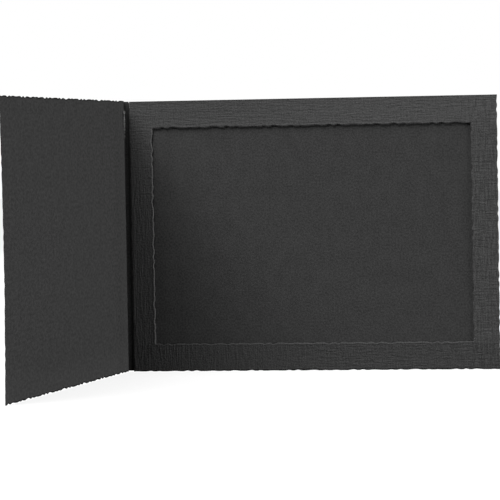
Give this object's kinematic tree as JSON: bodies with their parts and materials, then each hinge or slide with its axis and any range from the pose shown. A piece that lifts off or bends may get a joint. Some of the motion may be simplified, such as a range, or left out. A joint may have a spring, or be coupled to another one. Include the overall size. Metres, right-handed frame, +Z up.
{
  "type": "photo folder",
  "caption": "Black linen-card photo folder standing open: a cover hinged on a scored spine beside a pocket whose deckle-edged window frame shows a landscape print.",
  "frame": {"origin": "centre of the open folder's bounding box, on the surface that its bottom edges stand on", "axes": "+X along the framed panel from the gutter to its right edge, +Y from the window to the back, +Z up"},
  "size_m": [0.22, 0.1926, 0.1429],
  "materials": {
    "card": "matte black card, linen-embossed outside and smooth inside",
    "scored_card": "matte black card, pressed along the score",
    "glue": "dried glue, satin"
  },
  "bodies": {
    "framed_panel": {"back_panel": "card", "top_fold": "card", "window_frame": "card", "right_glue_line": "glue", "bottom_glue_line": "glue", "back_crease": "scored_card"},
    "spine": {"spine_strip": "card", "cover_crease": "scored_card"},
    "cover": {"front_cover": "card"}
  },
  "joints": [
    {"name": "spine_fold", "type": "hinge", "parent": "framed_panel", "child": "spine", "pos_m": [-0.08374, 0.09603, 0.0714], "axis": [0, 0, 1], "range_deg": [0, 90]},
    {"name": "cover_fold", "type": "hinge", "parent": "spine", "child": "cover", "pos_m": [-0.08614, 0.09603, 0.0714], "axis": [0, 0, 1], "range_deg": [-83, 7]}
  ]
}
